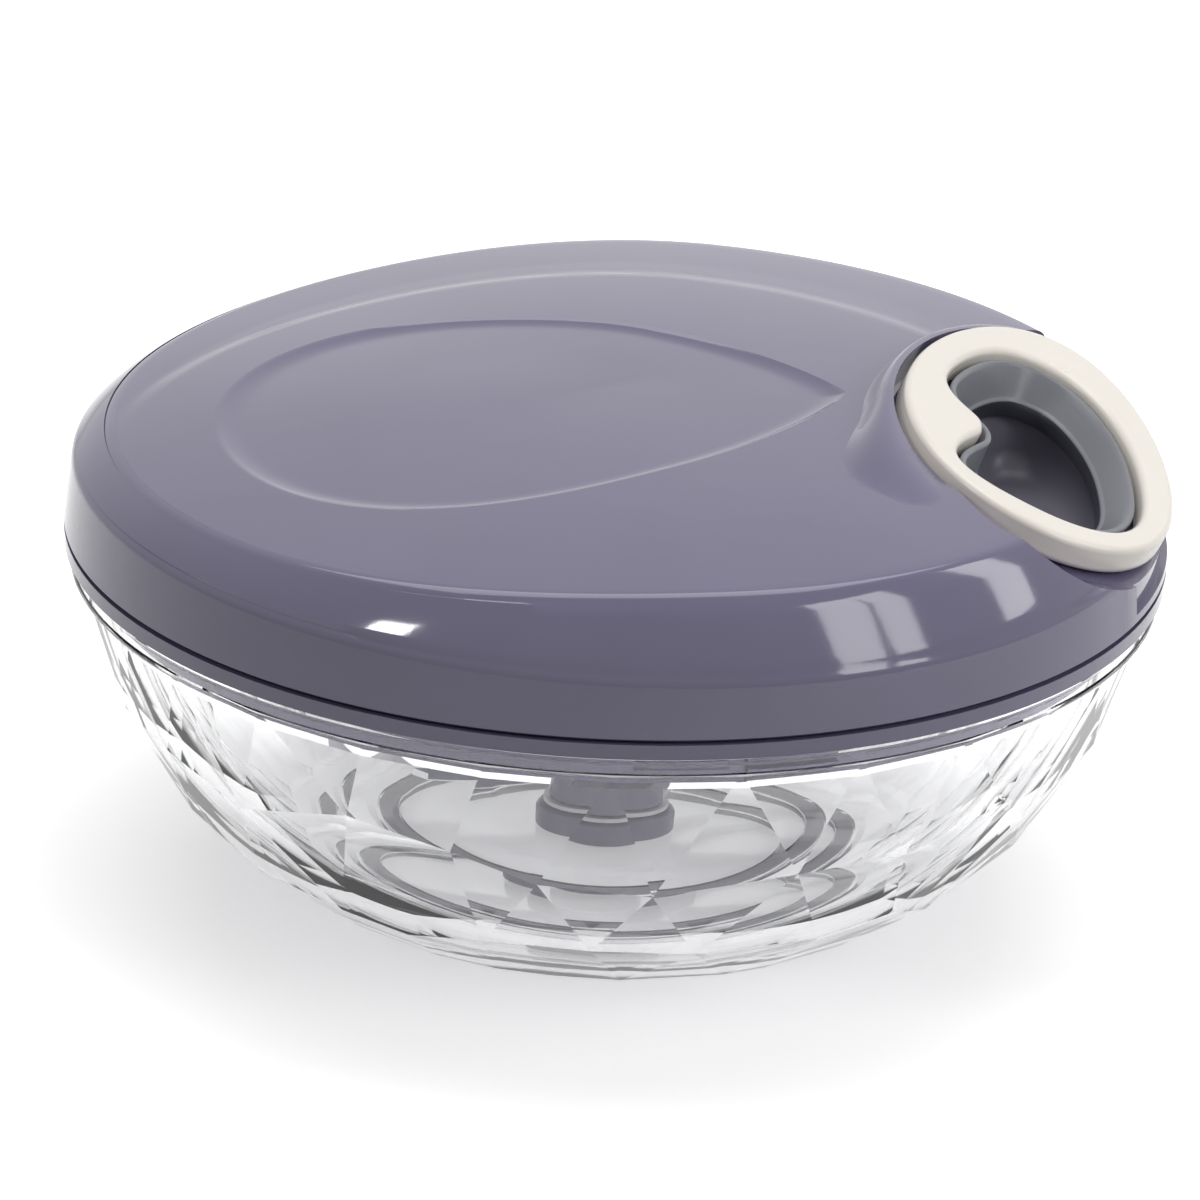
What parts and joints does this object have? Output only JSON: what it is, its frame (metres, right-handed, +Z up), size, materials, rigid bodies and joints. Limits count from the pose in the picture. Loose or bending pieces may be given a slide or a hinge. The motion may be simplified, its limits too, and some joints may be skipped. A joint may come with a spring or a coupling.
{
  "type": "pull-cord food chopper",
  "caption": "Manual food chopper: clear faceted bowl, stacked blades on a pin, and a bayonet lid whose pull ring spins them through a sprung cord reel.",
  "frame": {"origin": "middle of the foot, on the table", "axes": "+Z up along the axis of the bowl, the blades and the reel; +X towards the pull ring; +Y completes a right-handed frame"},
  "size_m": [0.1502, 0.15, 0.0761],
  "materials": {
    "clear_plastic": "clear, gloss",
    "slate_purple": "gloss",
    "slate_purple_dark": "satin",
    "dark_grey": "satin",
    "cream": "gloss",
    "blade_plastic": "satin",
    "nylon": "satin",
    "silicone": "matte",
    "stainless": "polished",
    "cord": "braided"
  },
  "bodies": {
    "bowl": {"bowl": "clear_plastic", "foot_ring": "silicone", "pivot_pin": "stainless"},
    "blades": {"blade_shaft": "blade_plastic", "blade_lower": "stainless", "blade_middle": "stainless", "blade_upper": "stainless", "blade_spacer_1": "blade_plastic", "blade_spacer_2": "blade_plastic", "shaft_cap": "blade_plastic"},
    "seal": {"lid_seal": "silicone"},
    "lid": {"lid_base": "slate_purple", "lid_cover": "slate_purple", "mechanism_housing": "slate_purple", "housing_screw_1": "stainless", "housing_screw_2": "stainless", "housing_screw_3": "stainless", "spool_axle": "stainless", "axle_washer": "stainless", "axle_screw": "stainless", "well_bezel": "dark_grey", "grip_well": "slate_purple_dark", "cord_guide": "dark_grey", "cord_run": "cord"},
    "handle": {"handle_ring": "cream", "cord_knot": "stainless"},
    "reel": {"spool": "nylon", "spring_cover": "stainless", "main_spring": "stainless", "cord_winding": "cord", "pawl_pin_1": "stainless", "pawl_pin_2": "stainless"},
    "pawl_a": {"pawl_1": "nylon"},
    "pawl_b": {"pawl_2": "nylon"},
    "hub": {"drive_hub": "nylon"}
  },
  "joints": [
    {"name": "lid_lift", "type": "slide", "parent": "bowl", "child": "seal", "axis": [0, 0, 1], "range_m": [0, 0.12]},
    {"name": "lid_turn", "type": "hinge", "parent": "seal", "child": "lid", "pos_m": [0, 0, 0.05], "axis": [0, 0, 1], "range_deg": [-12, 0]},
    {"name": "handle_pull", "type": "slide", "parent": "lid", "child": "handle", "axis": [0.4034, -0.0517, 0.9135], "range_m": [0, 0.3], "stiffness_N_per_m": 12, "springref_m": -0.35},
    {"name": "spool_spin", "type": "hinge", "parent": "lid", "child": "reel", "pos_m": [0, 0, 0.054], "axis": [0, 0, 1], "range_deg": [0, 790]},
    {"name": "hub_spin", "type": "hinge", "parent": "lid", "child": "hub", "pos_m": [0, 0, 0.046], "axis": [0, 0, 1], "continuous": true},
    {"name": "blade_spin", "type": "hinge", "parent": "bowl", "child": "blades", "pos_m": [0, 0, 0.01], "axis": [0, 0, 1], "continuous": true},
    {"name": "pawl_a_swing", "type": "hinge", "parent": "reel", "child": "pawl_a", "pos_m": [0.00946, 0.01352, 0.0464], "axis": [0, 0, 1], "range_deg": [-12, 0], "stiffness_Nm_per_rad": 0.002, "springref_deg": 8.59},
    {"name": "pawl_b_swing", "type": "hinge", "parent": "reel", "child": "pawl_b", "pos_m": [-0.00946, -0.01352, 0.0464], "axis": [0, 0, 1], "range_deg": [-12, 0], "stiffness_Nm_per_rad": 0.002, "springref_deg": 8.59}
  ],
  "couplings": [
    {"joint": "spool_spin", "follows": "handle_pull", "rad_per_m": 45.872},
    {"joint": "hub_spin", "follows": "handle_pull", "rad_per_m": 45.872},
    {"joint": "blade_spin", "follows": "handle_pull", "rad_per_m": 45.872}
  ]
}
